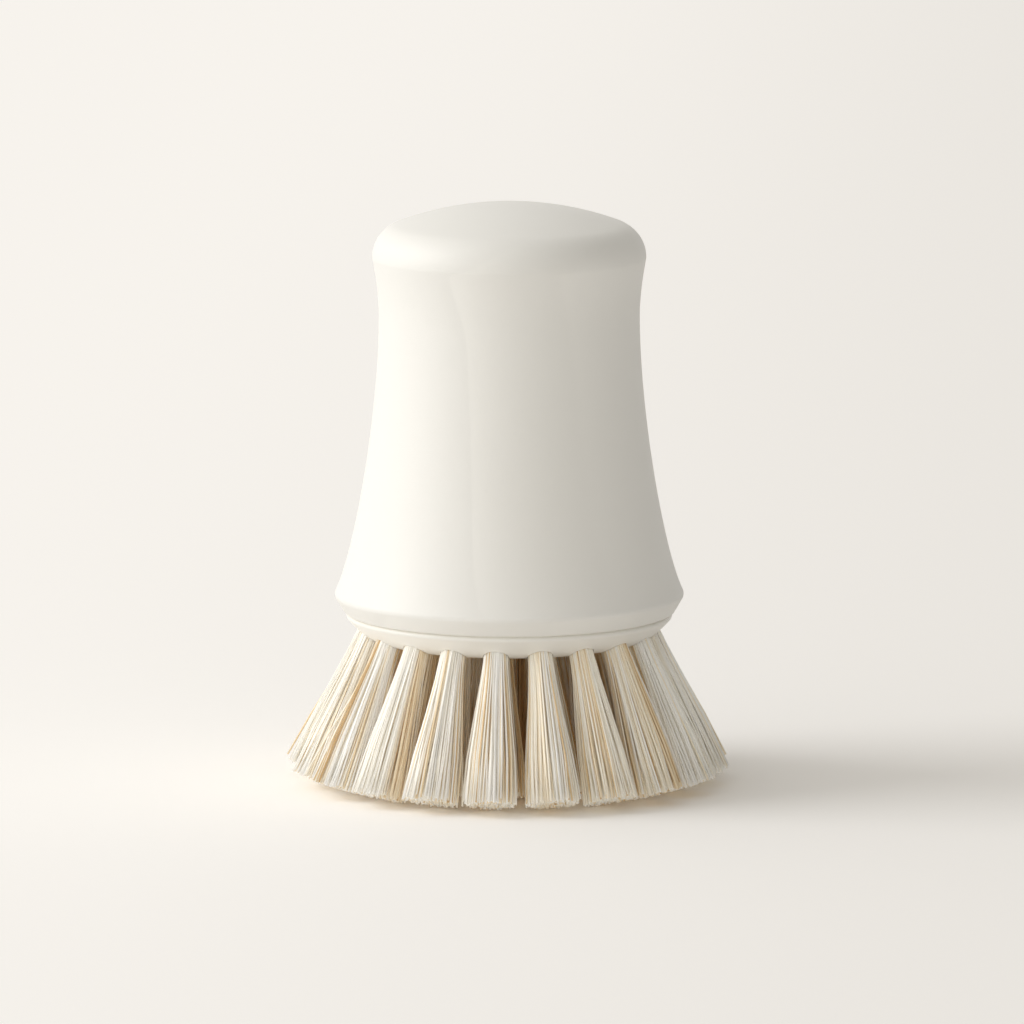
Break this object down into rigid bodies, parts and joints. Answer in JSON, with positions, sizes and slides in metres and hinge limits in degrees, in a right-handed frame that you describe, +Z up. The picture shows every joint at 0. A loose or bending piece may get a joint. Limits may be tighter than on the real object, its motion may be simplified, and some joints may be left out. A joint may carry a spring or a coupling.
{
  "type": "palm brush",
  "caption": "Palm brush: a hollow waisted handle with a domed knob on a round twist-off head of flared bristle tufts.",
  "frame": {"origin": "on the brush's axis, on the surface that the bristle tips stand on", "axes": "+Z up along the brush's axis, from the bristle tips to the crown; +X to the right and +Y away from the viewer"},
  "size_m": [0.0777, 0.0776, 0.1016],
  "materials": {
    "shell": "off-white, eggshell matt with a very fine moulded grain",
    "plate": "off-white, smooth satin",
    "insert": "off-white, as moulded",
    "seal": "pale grey silicone rubber",
    "anchor": "flat nickel-plated wire",
    "bristle": "natural plant fibre, a mix of white, cream and tan with a few brown streaks"
  },
  "bodies": {
    "brush_head": {"brush_plate": "plate", "threaded_collar": "insert", "tuft_anchors": "anchor", "tuft_outer_1": "bristle", "tuft_outer_2": "bristle", "tuft_outer_3": "bristle", "tuft_outer_4": "bristle", "tuft_outer_5": "bristle", "tuft_outer_6": "bristle", "tuft_outer_7": "bristle", "tuft_outer_8": "bristle", "tuft_outer_9": "bristle", "tuft_outer_10": "bristle", "tuft_outer_11": "bristle", "tuft_outer_12": "bristle", "tuft_outer_13": "bristle", "tuft_outer_14": "bristle", "tuft_outer_15": "bristle", "tuft_outer_16": "bristle", "tuft_outer_17": "bristle", "tuft_outer_18": "bristle", "tuft_outer_19": "bristle", "tuft_outer_20": "bristle", "tuft_middle_1": "bristle", "tuft_middle_2": "bristle", "tuft_middle_3": "bristle", "tuft_middle_4": "bristle", "tuft_middle_5": "bristle", "tuft_middle_6": "bristle", "tuft_middle_7": "bristle", "tuft_middle_8": "bristle", "tuft_middle_9": "bristle", "tuft_middle_10": "bristle", "tuft_middle_11": "bristle", "tuft_middle_12": "bristle", "tuft_middle_13": "bristle", "tuft_middle_14": "bristle", "tuft_inner_1": "bristle", "tuft_inner_2": "bristle", "tuft_inner_3": "bristle", "tuft_inner_4": "bristle", "tuft_inner_5": "bristle", "tuft_inner_6": "bristle", "tuft_inner_7": "bristle", "tuft_inner_8": "bristle", "tuft_centre": "bristle"},
    "seal": {"seal_ring": "seal"},
    "handle": {"handle_shell": "shell", "socket_insert": "insert"}
  },
  "joints": [
    {"name": "handle_rise", "type": "slide", "parent": "brush_head", "child": "seal", "axis": [0, 0, 1], "range_m": [0, 0.006]},
    {"name": "handle_twist", "type": "hinge", "parent": "seal", "child": "handle", "pos_m": [0, 0, 0.04], "axis": [0, 0, 1], "range_deg": [0, 120]}
  ],
  "couplings": [
    {"joint": "handle_rise", "follows": "handle_twist", "m_per_rad": 0.0028648}
  ]
}
